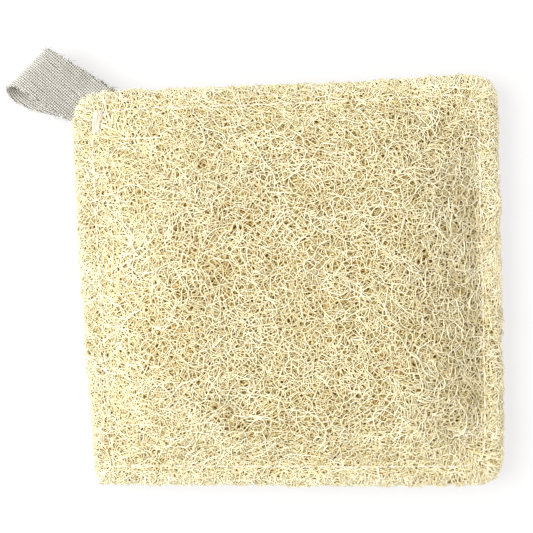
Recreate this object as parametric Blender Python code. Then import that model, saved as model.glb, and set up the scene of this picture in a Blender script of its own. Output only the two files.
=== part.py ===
"""A square natural loofah pad: two sheets of loofah sewn together round the edge, and a folded hanging tape.

Metres, +Z up. The pad lies on its back. The origin is the middle of its rest spot, and +Y is the pad's top.
"""

import math
import random

import bmesh
import bpy
from mathutils import Matrix, Vector, noise
from mathutils.geometry import delaunay_2d_cdt, intersect_point_line

# The pad seen from above. The corners are where its sides would meet if they weren't rounded.
HALF_WIDTH = 0.0625
HALF_DEPTH = 0.0590
CORNERS = {
    (-1, 1): Vector((-0.0635, 0.0570)),
    (1, 1): Vector((0.0614, 0.0627)),
    (1, -1): Vector((0.0638, -0.0600)),
    (-1, -1): Vector((-0.0572, -0.0594)),
}
CORNER_SHARPNESS = {(-1, 1): 13, (1, 1): 22, (1, -1): 16, (-1, -1): 24}
LEFT_BOW = 0.0020
TOP_DIP = 0.0009

# The sheets, with heights counted from the plane where they meet.
MEETING_PLANE = 0.0085
SHEET_GAP = 0.0003
SLOPE_LENGTH = 0.0270
SLOPE_FULLNESS = 2.1
FRONT_LOFT = 0.0110
BACK_FLATTENING = 1.5

# The sewn rim. Each ring is its distance in from the pad's edge, and its height above the meeting plane.
SHOULDER = (0.0074, 0.0026)
CHANNEL_INSIDE = (0.0063, 0.0017)
CHANNEL_OUTSIDE = (0.0043, 0.0017)
HEM_INSIDE = (0.0034, 0.0027)
HEM_OUTSIDE = (0.0010, 0.0024)
RIM = (0.0, 0.0016)
UNDERSIDE = (0.0, SHEET_GAP / 2)
RING_COLUMNS = 88

# The net of fibres that stands up from each sheet, coarser than life.
FRONT_PITCH = 0.0080
BACK_PITCH = 0.0096
LIE = 1.14
SCATTER = 0.33
NET_MARGIN = 0.0043
FIBRE_HALF_WIDTH = 0.0011
FIBRE_HEIGHT = 0.0016
SHALLOWEST = 0.45
FULL_HEIGHT_LOFT = 0.15
WIDEST_SHARE = 0.55
UNEVENNESS = 0.0006
UNEVEN_PER_METRE = 420
HEM_FIBRE_HALF_WIDTH = 0.0005
HEM_FIBRE_HEIGHT = 0.0006
REST_SPOT = 0.0110

# The seam. One stitch spans two columns of the rim.
SEAM_INSET = 0.0053
THREAD = 0.0009
CLEARANCE = 0.0003
STITCH_ARCH = 0.0002
PUNCH_LENGTH = 0.0080

# The hanging tape. Distances along it run from the fold towards the pad.
TAPE_WIDTH = 0.0150
TAPE_THICKNESS = 0.0007
TAPE_REACH = 0.0350
FOLD_SPOT = Vector((-0.0780, 0.0647))
TAPE_HEADING = math.radians(-31.8)
LEG_HEIGHT = 0.00055
LOOP_LENGTH = 0.0215
LOOP_BULGE = 0.0036
LOOP_ROUNDNESS = 0.7
LOOP_DROOP = 0.0028
DROOP_CURVE = 1.3
FOLD_DEPTH = 0.0036
LEG_SPREAD = 0.0026
FOLD_SKEW = 0.0034
POCKET_HALF_HEIGHT = 0.0012
POCKET_MOUTH = 0.0100

LOOFAH_COLOUR = (0.74, 0.65, 0.40, 1.0)
LINEN_COLOUR = (0.47, 0.45, 0.40, 1.0)
THREAD_COLOUR = (0.86, 0.81, 0.73, 1.0)


def material(name, colour, roughness):
    made = bpy.data.materials.new(name)
    made.use_nodes = True
    shader = made.node_tree.nodes["Principled BSDF"]
    shader.inputs["Base Color"].default_value = colour
    shader.inputs["Roughness"].default_value = roughness
    return made


def object_from(shape, name, finish=None):
    """Turns a bmesh into a named object whose faces point out."""
    bmesh.ops.recalc_face_normals(shape, faces=shape.faces)
    mesh = bpy.data.meshes.new(name)
    shape.to_mesh(mesh)
    shape.free()
    made = bpy.data.objects.new(name, mesh)
    bpy.context.scene.collection.objects.link(made)
    if finish:
        mesh.materials.append(finish)
    return made


def cut(target, cutter):
    step = target.modifiers.new(cutter.name, "BOOLEAN")
    step.operation = "DIFFERENCE"
    step.solver = "EXACT"
    step.object = cutter
    cutter.hide_render = True
    cutter.display_type = "WIRE"


def eased(share):
    share = min(max(share, 0.0), 1.0)
    return share * share * (3 - 2 * share)


def on_plan(spot):
    """Where a point of the nominal rectangle lies on the real pad, with its round corners and uneven sides."""
    u, v = spot.x / HALF_WIDTH, spot.y / HALF_DEPTH
    power = CORNER_SHARPNESS[(1 if u > 0 else -1, 1 if v > 0 else -1)]
    rounding = max(abs(u), abs(v)) / max((abs(u) ** power + abs(v) ** power) ** (1 / power), 1e-9)
    u, v = u * rounding, v * rounding
    place = Vector((0.0, 0.0))
    for (side, end), corner in CORNERS.items():
        place += corner * (1 + side * u) * (1 + end * v) / 4
    place.x -= LEFT_BOW * (1 - v * v) * (1 - u) / 2
    place.y -= TOP_DIP * (1 - u * u) * (1 + v) / 2
    return place


def loft(spot):
    """How far the pad has puffed up at a point of the nominal rectangle: 0 at the seam, 1 on its plateau."""
    puffed = 1.0
    for inset in (HALF_WIDTH - abs(spot.x), HALF_DEPTH - abs(spot.y)):
        share = min(max((inset - SHOULDER[0]) / SLOPE_LENGTH, 0.0), 1.0)
        puffed *= 1 - (1 - share) ** SLOPE_FULLNESS
    return puffed


def ring(inset, shift=0.0):
    """Points spaced evenly along each side of the nominal rectangle, this far in from its edge."""
    per_side = RING_COLUMNS // 4
    spots = []
    for column in range(RING_COLUMNS):
        side, step = divmod(column + shift, per_side)
        along = 2 * step / per_side - 1
        u, v = [(along, -1), (1, along), (-along, 1), (-1, -along)][int(side) % 4]
        spots.append(Vector((u * (HALF_WIDTH - inset), v * (HALF_DEPTH - inset))))
    return spots


def scattered(draw, pitch, clear_radius):
    """One point for each mesh of the net, on a loose triangular grid stretched along the fibres' lie."""
    pitch_along, pitch_across = pitch * LIE, pitch / LIE * math.sqrt(3) / 2
    reach = Vector((HALF_WIDTH, HALF_DEPTH)) - Vector((1, 1)) * (SHOULDER[0] + NET_MARGIN)
    columns, rows = int(reach.x / pitch_along) + 1, int(reach.y / pitch_across) + 1
    spots = [Vector((0.0, 0.0))]
    for row in range(-rows, rows + 1):
        for column in range(-columns, columns + 1):
            stray = Vector((draw.uniform(-1, 1), draw.uniform(-1, 1))) * SCATTER
            spot = Vector(((column + row % 2 / 2 + stray.x) * pitch_along, (row + stray.y) * pitch_across))
            if abs(spot.x) < reach.x and abs(spot.y) < reach.y and spot.length > clear_radius:
                spots.append(spot)
    return spots


def net_cells(inner):
    """The meshes of the net as rings of corners. The outermost ones end on the shoulder inside the seam."""
    outer, shoulder = ring(SHOULDER[0], -0.5), ring(SHOULDER[0])
    count = len(outer)
    border = [(i, (i + 1) % count) for i in range(count)]
    spots, _, triangles, owners, _, _ = delaunay_2d_cdt(outer + inner, border, [], 1, 1e-7)
    around = {}
    for corners in triangles:
        middle = sum((spots[i] for i in corners), Vector((0.0, 0.0))) / 3
        for i in corners:
            around.setdefault(owners[i][0], []).append(middle)
    cells = []
    for owner, corners in sorted(around.items()):
        if owner < count:
            corners = corners + [shoulder[owner - 1], shoulder[owner]]
            centre = sum(corners, Vector((0.0, 0.0))) / len(corners)
        else:
            centre = inner[owner - count]
        cells.append(sorted(corners, key=lambda spot: math.atan2(spot.y - centre.y, spot.x - centre.x)))
    return cells


def sink(shape, face, half_width, height):
    """Lets a face down between its own edges, which are left standing as fibres."""
    centre = face.calc_center_median()
    feet = [intersect_point_line(centre, *(vert.co for vert in edge.verts))[0] for edge in face.edges]
    reach = min((foot - centre).length for foot in feet)
    bmesh.ops.inset_individual(shape, faces=[face], thickness=reach / 50)
    share = 1 - min(half_width / reach, WIDEST_SHARE)
    bmesh.ops.scale(shape, vec=(share, share, 1), space=Matrix.Translation(-centre), verts=face.verts)
    bmesh.ops.translate(shape, vec=(0, 0, -height), verts=face.verts)


def loofah_sheet(name, draw, pitch, side, height, flattening, clear_radius, finish):
    """One sheet, made flat in the nominal rectangle, then puffed and moved to its place on the pad.

    The side is 1 for the front and -1 for the back, which keeps a flat spot as wide as its clear radius.
    """
    shape = bmesh.new()
    corner_of = {}

    def corner(spot):
        key = (round(spot.x, 6), round(spot.y, 6))
        if key not in corner_of:
            uneven = noise.noise(spot.to_3d() * UNEVEN_PER_METRE) * UNEVENNESS * min(1, 4 * loft(spot))
            level = SHOULDER[1] + (uneven if side > 0 else 0)
            corner_of[key] = shape.verts.new((spot.x, spot.y, level))
        return corner_of[key]

    cells = net_cells(scattered(draw, pitch, clear_radius))
    net = [shape.faces.new([corner(spot) for spot in cell]) for cell in cells]
    rings = [[corner(spot) for spot in ring(SHOULDER[0])]]
    for inset, level in (CHANNEL_INSIDE, CHANNEL_OUTSIDE, HEM_INSIDE, HEM_OUTSIDE, RIM, UNDERSIDE):
        rings.append([shape.verts.new((spot.x, spot.y, level)) for spot in ring(inset)])
    bands = []
    for inner, outer in zip(rings, rings[1:]):
        quads = [(inner[i - 1], outer[i - 1], outer[i], inner[i]) for i in range(RING_COLUMNS)]
        bands.append([shape.faces.new(quad) for quad in quads])
    shape.faces.new(rings[-1])

    rest_spot = min(net, key=lambda face: face.calc_center_median().xy.length)
    for face in net:
        if face is not rest_spot or side > 0:
            puffed = min(1, loft(face.calc_center_median()) / FULL_HEIGHT_LOFT)
            sink(shape, face, FIBRE_HALF_WIDTH, FIBRE_HEIGHT * (SHALLOWEST + (1 - SHALLOWEST) * puffed))
    hem = bands[3]
    for face in hem:
        sink(shape, face, HEM_FIBRE_HALF_WIDTH, HEM_FIBRE_HEIGHT)

    for vert in shape.verts:
        level = vert.co.z + height * min(1, flattening * loft(vert.co))
        vert.co = (*on_plan(vert.co), MEETING_PLANE + side * level)
    bent = [face for face in shape.faces if len(face.verts) < RING_COLUMNS and face is not rest_spot]
    bmesh.ops.triangulate(shape, faces=bent)
    return object_from(shape, name, finish)


def seam_stations():
    """Stations along the seam: a place on the plan, the way across the seam, the thread's miter, the column.

    A punched column has two, one on either side of its hole. The others are the middles of the stitches.
    """
    line = [on_plan(spot) for spot in ring(SEAM_INSET)]
    stations = []
    for column, spot in enumerate(line):
        before, after = spot - line[column - 1], line[(column + 1) % RING_COLUMNS] - spot
        along = (before.normalized() + after.normalized()).normalized()
        across = Vector((along.y, -along.x))
        miter = 1 / along.dot(after.normalized())
        for shift in (-THREAD / 2, THREAD / 2) if column % 2 else (0.0,):
            stations.append((spot + along * shift, across, miter, column))
    return stations


def thread_body(finish):
    """The thread above and below the pad, joined through the holes at both ends of each stitch."""
    shape = bmesh.new()
    stations = seam_stations()
    near = CHANNEL_INSIDE[1] + CLEARANCE
    openings = {}
    for side in (1, -1):
        sections = []
        for spot, across, miter, column in stations:
            lift = 0.0 if column % 2 else STITCH_ARCH
            section = []
            for way, level in ((-1, near), (1, near), (1, near + THREAD), (-1, near + THREAD)):
                place = spot + across * (way * miter * THREAD / 2)
                section.append(shape.verts.new((*place, MEETING_PLANE + side * (level + lift))))
            sections.append(section)
        for i, section in enumerate(sections):
            last, column, last_column = sections[i - 1], stations[i][3], stations[i - 1][3]
            for k in range(4):
                if k == 0 and column == last_column:
                    openings.setdefault(column, []).append([last[0], last[1], section[1], section[0]])
                else:
                    m = (k + 1) % 4
                    shape.faces.new((last[k], last[m], section[m], section[k]))
    for above, below in openings.values():
        for i in range(4):
            shape.faces.new((above[i - 1], above[i], below[i], below[i - 1]))
    return object_from(shape, "seam_thread", finish)


def seam_punch():
    """A square pin through each hole of the seam."""
    shape = bmesh.new()
    width = THREAD + 2 * CLEARANCE
    holes = {}
    for spot, across, _, column in seam_stations():
        if column % 2:
            holes.setdefault(column, []).append((spot, across))
    for (first, across), (second, _) in holes.values():
        place = Matrix.Translation(((first + second) / 2).to_3d() + Vector((0, 0, MEETING_PLANE)))
        turn = Matrix.Rotation(math.atan2(across.y, across.x), 4, "Z")
        size = Matrix.Diagonal((width, width, PUNCH_LENGTH, 1))
        bmesh.ops.create_cube(shape, size=1.0, matrix=place @ turn @ size)
    return object_from(shape, "seam_punch")


def tape_way():
    """The tape's path from the end of the upper leg, round the fold, to the end of the lower leg.

    Each stop is the distance from the fold, the height, and how far the tape has shifted to its own side.
    """
    loose = LOOP_LENGTH - 0.002
    straight = [TAPE_REACH, TAPE_REACH - 0.006, LOOP_LENGTH + 0.001]
    loosened = [FOLD_DEPTH + (loose - FOLD_DEPTH) * (1 - i / 7) for i in range(7)]
    fold = [math.pi * i / 8 for i in range(9)]

    def droop(distance):
        return LOOP_DROOP * max(0.0, 1 - distance / LOOP_LENGTH) ** DROOP_CURVE

    def leg(distance, side):
        spread = eased((loose - distance) / (loose - FOLD_DEPTH)) ** LOOP_ROUNDNESS
        height = MEETING_PLANE - droop(distance) + side * (LEG_HEIGHT + LOOP_BULGE * spread)
        return distance, height, LEG_SPREAD * spread if side < 0 else 0.0

    stops = [leg(distance, 1) for distance in straight + loosened]
    for turn in fold:
        distance = FOLD_DEPTH * (1 - math.sin(turn))
        height = MEETING_PLANE - droop(distance) + (LEG_HEIGHT + LOOP_BULGE) * math.cos(turn)
        stops.append((distance, height, LEG_SPREAD * (1 - math.cos(turn)) / 2))
    return stops + [leg(distance, -1) for distance in reversed(straight + loosened)]


def tape_place(distance, across):
    """A place on the plan, by the distance from the fold, and across the tape to its lower left."""
    heading = Vector((math.cos(TAPE_HEADING), math.sin(TAPE_HEADING)))
    return FOLD_SPOT + heading * distance + Vector((heading.y, -heading.x)) * across


def hanging_tape(finish):
    shape = bmesh.new()
    rows = []
    for distance, height, shift in tape_way():
        row = []
        for i in range(4):
            across = (i / 3 - 0.5) * TAPE_WIDTH
            skew = FOLD_SKEW * across / TAPE_WIDTH * max(0.0, 1 - distance / LOOP_LENGTH)
            row.append(shape.verts.new((*tape_place(distance - skew, across + shift), height)))
        rows.append(row)
    for last, row in zip(rows, rows[1:]):
        for i in range(3):
            shape.faces.new((last[i], last[i + 1], row[i + 1], row[i]))
    tape = object_from(shape, "hanging_loop", finish)
    cloth = tape.modifiers.new("thickness", "SOLIDIFY")
    cloth.thickness = TAPE_THICKNESS
    cloth.offset = 0.0
    cloth.use_even_offset = True
    return tape


def tape_pocket():
    """The room between the sheets that the tape's two ends are sewn into."""
    shape = bmesh.new()
    end = TAPE_REACH + 0.001
    middle = tape_place((POCKET_MOUTH + end) / 2, 0.0)
    place = Matrix.Translation(middle.to_3d() + Vector((0, 0, MEETING_PLANE)))
    turn = Matrix.Rotation(TAPE_HEADING, 4, "Z")
    size = Matrix.Diagonal((end - POCKET_MOUTH, TAPE_WIDTH + 2 * CLEARANCE, 2 * POCKET_HALF_HEIGHT, 1))
    bmesh.ops.create_cube(shape, size=1.0, matrix=place @ turn @ size)
    return object_from(shape, "tape_pocket")


for item in list(bpy.data.objects):
    bpy.data.objects.remove(item)

loofah = material("loofah", LOOFAH_COLOUR, 0.85)
linen = material("linen", LINEN_COLOUR, 0.9)
cotton = material("cotton_thread", THREAD_COLOUR, 0.8)

front = loofah_sheet(
    name="front_loofah",
    draw=random.Random(11),
    pitch=FRONT_PITCH,
    side=1,
    height=FRONT_LOFT,
    flattening=1.0,
    clear_radius=0.6 * FRONT_PITCH,
    finish=loofah,
)
back = loofah_sheet(
    name="back_loofah",
    draw=random.Random(5),
    pitch=BACK_PITCH,
    side=-1,
    height=MEETING_PLANE - SHOULDER[1],
    flattening=BACK_FLATTENING,
    clear_radius=REST_SPOT,
    finish=loofah,
)
loop = hanging_tape(linen)
thread_body(cotton)

punch = seam_punch()
pocket = tape_pocket()
for sheet in (front, back):
    cut(sheet, pocket)
    cut(sheet, punch)
cut(loop, punch)
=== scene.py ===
import math
import random

import bpy
import numpy as np
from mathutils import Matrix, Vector, noise
from mathutils.geometry import delaunay_2d_cdt


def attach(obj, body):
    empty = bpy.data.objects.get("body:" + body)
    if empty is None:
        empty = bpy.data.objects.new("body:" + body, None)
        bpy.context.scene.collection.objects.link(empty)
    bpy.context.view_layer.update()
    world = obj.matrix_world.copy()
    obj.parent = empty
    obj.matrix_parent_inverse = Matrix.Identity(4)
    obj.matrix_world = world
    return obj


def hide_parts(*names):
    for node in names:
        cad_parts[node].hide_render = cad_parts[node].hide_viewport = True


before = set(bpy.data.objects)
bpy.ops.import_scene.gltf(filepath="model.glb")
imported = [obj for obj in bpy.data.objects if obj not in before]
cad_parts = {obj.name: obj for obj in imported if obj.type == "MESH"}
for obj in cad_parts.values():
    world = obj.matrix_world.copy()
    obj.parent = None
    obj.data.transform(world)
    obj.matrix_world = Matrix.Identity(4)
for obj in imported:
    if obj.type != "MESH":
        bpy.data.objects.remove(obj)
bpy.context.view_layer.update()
mm = 0.001

# The pad, in millimetres. Places on it are given on a plain rectangle, and then moved to the real outline.
pad = {
    "half": (62.5, 59.0),
    "topLeft": (-65.0, 57.2),
    "topRight": (61.4, 62.7),
    "bottomRight": (63.8, -60.0),
    "bottomLeft": (-57.2, -59.4),
    "sharpness": (15, 20, 17, 60),    # of the four corners, in the same order
    "leftBow": 0.6,
    "topDip": 0.9,
    "meeting": 8.5,                   # height of the plane where the two sheets meet
    "slopeStart": 7.4,
    "slopeLength": 27.0,
    "slopeFullness": 2.1,
    "frontLoft": 11.0,
    "backLoft": 5.9,
    "backFlattening": 1.5,
    "unevenness": 0.3,
    "unevenPerMm": 0.085,
    "unevenSeed": 4.2,
    "unevenFrom": 0.2,                # share of the loft from which the front is fully uneven
    "creaseDepth": 0.7,
    "creaseWidth": 1.5,
    "creases": (8.9, 17.8),           # across the pad
    "creaseMiddle": -8.0,
    "creaseHalf": 17.0,
    "lowest": 0.25,                   # fibres of the back stay this far above the floor
}

# The sewn rim, each ring as its distance in from the edge and its height above the meeting plane.
rimRings = {
    "under": (-2.6, 0.1),
    "side": (-1.7, 0.35),
    "sideTop": (-0.8, 0.7),
    "edge": (0.0, 0.9),
    "hemOutside": (1.3, 1.4),
    "hemInside": (3.1, 2.05),
    "channelOutside": (4.6, 2.1),
    "channelInside": (6.0, 2.2),
    "shoulder": (7.4, 2.7),
}
rim = {
    "over": 2.4,                      # how far the loofah turns down over the rim
    "bulge": 0.5,
    "ragged": 0.7,                    # how uneven the outline is
    "raggedPerMm": 0.35,
    "raggedSeed": 6.6,
    "lumps": 0.3,
    "lumpsPerMm": 0.21,
    "lumpsSeed": 9.1,
    "unevenBand": 5,                  # how far in from the edge both reach
    "thinnest": 0.05,                 # the least height above the meeting plane
}
tiny = 1e-6


def stepDone(words):
    print("stage:", words)


def deselectAll():
    if bpy.context.object and bpy.context.object.mode != "OBJECT":
        bpy.ops.object.mode_set(mode="OBJECT")
    bpy.ops.object.select_all(action="DESELECT")


def onPlan(a, b):
    u = np.clip(a / pad["half"][0], -1, 1)
    v = np.clip(b / pad["half"][1], -1, 1)
    quarters = {"topLeft": (-1, 1), "topRight": (1, 1), "bottomRight": (1, -1), "bottomLeft": (-1, -1)}
    power = np.zeros_like(u)
    for (side, end), sharp in zip(quarters.values(), pad["sharpness"]):
        power[((u > 0) == (side > 0)) & ((v > 0) == (end > 0))] = sharp
    cornerShare = np.minimum(abs(u), abs(v)) / np.maximum(np.maximum(abs(u), abs(v)), tiny)
    rounding = (1 + cornerShare ** power) ** (-1 / power)
    u = u * rounding
    v = v * rounding
    x = np.zeros_like(u)
    y = np.zeros_like(u)
    for corner, (side, end) in quarters.items():
        share = (1 + side * u) * (1 + end * v) / 4
        x += pad[corner][0] * share
        y += pad[corner][1] * share
    x -= pad["leftBow"] * (1 - v * v) * (1 - u) / 2
    y -= pad["topDip"] * (1 - u * u) * (1 + v) / 2
    return x, y


def loft(a, b):
    puffed = np.ones_like(a)
    for half, along in ((pad["half"][0], a), (pad["half"][1], b)):
        share = np.clip((half - abs(along) - pad["slopeStart"]) / pad["slopeLength"], 0, 1)
        puffed *= 1 - (1 - share) ** pad["slopeFullness"]
    return puffed


def insetOf(a, b):
    return np.minimum(pad["half"][0] - abs(a), pad["half"][1] - abs(b))


def noiseSpot(spot, perMm, seed):
    return Vector((spot[0] * perMm, spot[1] * perMm, seed))


def noiseWay(spot, perMm, seed):
    secondSeed = seed + 50
    return [noise.noise(noiseSpot(spot, perMm, each)) for each in (seed, secondSeed)]


def soften(points, seed, perMm):
    return np.array([noise.noise(noiseSpot(p, perMm, seed)) for p in points])


def padPlace(a, b, lift, side):
    x, y = onPlan(a, b)
    inset = insetOf(a, b)
    ringInsets, ringHeights = zip(*rimRings.values())
    height = np.interp(inset, ringInsets, ringHeights)
    puffed = loft(a, b)
    if side > 0:
        height += pad["frontLoft"] * puffed
        window = np.exp(-((b - pad["creaseMiddle"]) / pad["creaseHalf"]) ** 4)
        for crease in pad["creases"]:
            height -= pad["creaseDepth"] * window * np.exp(-((a - crease) / pad["creaseWidth"]) ** 2)
        uneven = soften(np.stack([a, b], 1), pad["unevenSeed"], pad["unevenPerMm"]) * pad["unevenness"] * 2
        height += uneven * np.minimum(1, puffed / pad["unevenFrom"])
    else:
        height += pad["backLoft"] * np.minimum(1, pad["backFlattening"] * puffed)
    edge = np.clip(1 - inset / rim["unevenBand"], 0, 1)
    flat = np.stack([a, b], 1)
    height += rim["lumps"] * edge * soften(flat, rim["lumpsSeed"], rim["lumpsPerMm"])
    out = rim["bulge"] * np.clip(-inset / rim["over"], 0, 1)
    out += rim["ragged"] * edge * soften(flat, rim["raggedSeed"], rim["raggedPerMm"])
    reach = np.maximum(np.hypot(x, y), 1)
    x = x * (1 + out / reach)
    y = y * (1 + out / reach)
    z = pad["meeting"] + side * np.maximum(height + lift, rim["thinnest"])
    return np.stack([x, y, np.maximum(z, pad["lowest"])], 1)


# Small gaps in the loofah, opened by pushing the fibres aside.
gaps = {
    "small": 110,
    "smallSize": (0.3, 0.7),
    "wide": 18,
    "wideSize": (0.7, 1.25),
    "widePlace": (14.0, -2.0),
    "wideSpread": (26.0, 28.0),
    "within": 0.88,            # of the pad's half
    "turnSpread": 0.7,
    "lengthening": 1.9,
    "fade": 2.2,               # how many sizes away the push fades
    "reach": 6,                # how many sizes away it ends
    "innerFrom": 0.5,          # the depth from which a web's gaps are smaller
    "topShare": 0.9,
    "innerShare": 0.6,
}


def gapList(seed):
    draw = random.Random(seed)
    made = []
    for i in range(gaps["small"] + gaps["wide"]):
        wide = i >= gaps["small"]
        size = draw.uniform(*gaps["wideSize" if wide else "smallSize"])
        if wide:
            place = [draw.gauss(m, s) for m, s in zip(gaps["widePlace"], gaps["wideSpread"])]
        else:
            place = [draw.uniform(-gaps["within"], gaps["within"]) * half for half in pad["half"]]
        turn = draw.gauss(0, gaps["turnSpread"])
        made.append((np.array(place), size, np.array([math.cos(turn), math.sin(turn)])))
    return made


def openGaps(points, made, share):
    points = points.copy()
    for place, size, along in made:
        size = size * share
        away = points - place
        near = (abs(away) < size * gaps["reach"]).all(1)
        if not near.any():
            continue
        lengthways = away[near] @ along
        sideways = away[near] @ np.array([-along[1], along[0]])
        reach = np.hypot(lengthways / gaps["lengthening"], sideways) + tiny
        pushed = np.sqrt(reach ** 2 + size ** 2 * np.exp(-(reach / (gaps["fade"] * size)) ** 2))
        points[near] = place + away[near] * (pushed / reach)[:, None]
    return points


# A net is the web between scattered spots. Each of its runs goes straight on where three fibres meet.
netting = {
    "reach": 1.45,             # how far the rows of spots go, before they are cut, in halves of the pad
    "margin": 2,               # pitches that they are left to stand out past the rim
    "rowPitch": 0.866,
    "scatter": 0.45,           # both in pitches
    "drift": 5.0,
    "driftPerMm": 0.04,
    "driftSeed": 0.29,
    "keep": 0.4,               # a relaxed knot keeps this much of its place
    "pull": 0.3,               # and takes this much from each neighbour
    "join": 1e-9,
}


def netSpots(pitch, stretch, turn, seed):
    draw = random.Random(seed)
    stray = netting["scatter"]
    reach = max(pad["half"]) * netting["reach"]
    rows = int(reach * stretch / (pitch * netting["rowPitch"])) + 1
    columns = int(reach / (pitch * stretch)) + 1
    along = Vector((math.cos(turn), math.sin(turn)))
    limit = [half + rim["over"] + netting["margin"] * pitch for half in pad["half"]]
    spots = []
    for row in range(-rows, rows + 1):
        for column in range(-columns, columns + 1):
            a = (column + row % 2 / 2 + draw.uniform(-stray, stray)) * pitch * stretch
            b = (row + draw.uniform(-stray, stray)) * pitch * netting["rowPitch"] / stretch
            spot = a * along + b * along.orthogonal()
            if abs(spot.x) < limit[0] and abs(spot.y) < limit[1]:
                drift = noiseWay(spot, netting["driftPerMm"], seed * netting["driftSeed"])
                spots.append(spot + netting["drift"] * Vector(drift))
    return spots


def netKnots(spots):
    places, _, corners, _, _, _ = delaunay_2d_cdt(spots, [], [], 0, netting["join"])
    places = np.array([tuple(p) for p in places])
    knots = places[np.array(corners)].mean(1)
    waiting = {}
    links = []
    for i, (p, q, r) in enumerate(corners):
        for ends in ((p, q), (q, r), (r, p)):
            key = (min(ends), max(ends))
            if key in waiting:
                links.append((waiting.pop(key), i))
            else:
                waiting[key] = i
    return knots, links


def netRuns(spots, relax):
    knots, links = netKnots(spots)
    around = [[] for _ in knots]
    for n, (i, j) in enumerate(links):
        way = knots[j] - knots[i]
        way = way / max(math.hypot(*way), netting["join"])
        around[i].append((n, j, way[0], way[1]))
        around[j].append((n, i, -way[0], -way[1]))
    onward = {}
    through = []
    for knot, ways in enumerate(around):
        if len(ways) < 2:
            continue
        pairs = [(p, q) for i, p in enumerate(ways) for q in ways[i + 1:]]
        p, q = min(pairs, key=lambda pq: pq[0][2] * pq[1][2] + pq[0][3] * pq[1][3])
        onward[knot, p[0]] = q[0]
        onward[knot, q[0]] = p[0]
        through.append((knot, p[1], q[1]))
    middle, before, after = np.array(through).T
    for _ in range(relax):
        knots[middle] = netting["keep"] * knots[middle] + netting["pull"] * (knots[before] + knots[after])
    used = set()
    runs = []
    for n, ends in enumerate(links):
        if n in used:
            continue
        used.add(n)
        run = list(ends)
        for forward in (True, False):
            link = n
            while True:
                knot = run[-1] if forward else run[0]
                link = onward.get((knot, link))
                if link is None or link in used:
                    break
                used.add(link)
                other = links[link][0] if links[link][1] == knot else links[link][1]
                run.insert(len(run) if forward else 0, other)
        runs.append(run)
    return knots, runs


# Each stretch of a run is cut into parts that follow a smooth curve through its points.
def smoothRun(points, parts):
    if parts < 2:
        return points
    padded = np.vstack([2 * points[0] - points[1], points, 2 * points[-1] - points[-2]])
    p0, p1, p2, p3 = padded[:-3], padded[1:-2], padded[2:-1], padded[3:]
    rows = []
    for k in range(parts):
        t = k / parts
        bend = (2 * p0 - 5 * p1 + 4 * p2 - p3) * t ** 2 + (3 * p1 - p0 - 3 * p2 + p3) * t ** 3
        rows.append(0.5 * (2 * p1 + (p2 - p0) * t + bend))
    fine = np.stack(rows, 1).reshape(-1, points.shape[1])
    return np.vstack([fine, points[-1:]])


def profileRing(sides):
    deselectAll()
    bpy.ops.curve.primitive_bezier_circle_add(radius=1)
    ring = bpy.context.object
    ring.name = f"profile{sides}"
    ring.data.splines.clear()
    spline = ring.data.splines.new("POLY")
    spline.points.add(sides - 1)
    for i, point in enumerate(spline.points):
        turn = math.pi / 2 - 2 * math.pi * i / sides
        point.co = (math.cos(turn), math.sin(turn), 0, 1)
    spline.use_cyclic_u = True
    return ring


profiles = {sides: profileRing(sides) for sides in (3, 4)}
shades = (0.1, 0.35, 0.6, 0.85, 1.0)
# How much painted shade each fibre gets where its surface turns in.
paintedShade = {"level": 0.25, "swing": 0.75}    # at a fibre's sides, and from there to its back
capJoin = 0.0001                             # millimetres, joins each end cap to its fibre


# A run is its points, its radius at each point, and its shade from 0, dark, to 1, light.
# A second attribute is 1 where a fibre's surface faces into the object, and darkens it there with painted
# shade, at its sides and back.
def fibres(name, runs, sides, finish, out=1):
    deselectAll()
    groups = []
    for shade in sorted({run[2] for run in runs}):
        bpy.ops.curve.primitive_nurbs_path_add()
        group = bpy.context.object
        curve = group.data
        curve.splines.clear()
        curve.bevel_mode = "OBJECT"
        curve.bevel_object = profiles[sides]
        curve.use_fill_caps = True
        for points, radius, _ in [run for run in runs if run[2] == shade]:
            spline = curve.splines.new("POLY")
            spline.points.add(len(points) - 1)
            spline.points.foreach_set("co", np.hstack([points * mm, np.ones((len(points), 1))]).ravel())
            spline.points.foreach_set("radius", radius * mm)
        bpy.ops.object.convert(target="MESH")
        group = bpy.context.object
        tone = group.data.attributes.new("tone", "FLOAT", "POINT")
        tone.data.foreach_set("value", np.full(len(group.data.vertices), shade))
        # Painted shade: darker at the fibre's sides and back, where its surface faces into the object.
        facing = np.zeros(len(group.data.vertices) * 3)
        group.data.vertex_normals.foreach_get("vector", facing)
        turned = group.data.attributes.new("paintedShade", "FLOAT", "POINT")
        shadeAmount = paintedShade["level"] - paintedShade["swing"] * out * facing[2::3]
        turned.data.foreach_set("value", np.clip(shadeAmount, 0, 1))
        groups.append(group)
    for group in groups:
        group.select_set(True)
    if len(groups) > 1:
        bpy.ops.object.join()
    made = bpy.context.object
    made.name = name
    bpy.ops.object.mode_set(mode="EDIT")
    bpy.ops.mesh.select_all(action="SELECT")
    bpy.ops.mesh.remove_doubles(threshold=capJoin * mm)
    bpy.ops.object.mode_set(mode="OBJECT")
    bpy.ops.object.shade_smooth()
    made.data.materials.clear()
    made.data.materials.append(finish)
    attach(made, "root")
    triangles = sum(len(face.vertices) - 2 for face in made.data.polygons)
    stepDone(f"{name}, {len(runs)} runs, {triangles} triangles")
    return made


def newFinish(name, roughness):
    made = bpy.data.materials.new(name)
    made.use_nodes = True
    nodes = made.node_tree.nodes
    shader = nodes["Principled BSDF"]
    shader.inputs["Roughness"].default_value = roughness
    where = nodes.new("ShaderNodeTexCoord")
    return made, nodes, made.node_tree.links, shader, where
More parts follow.
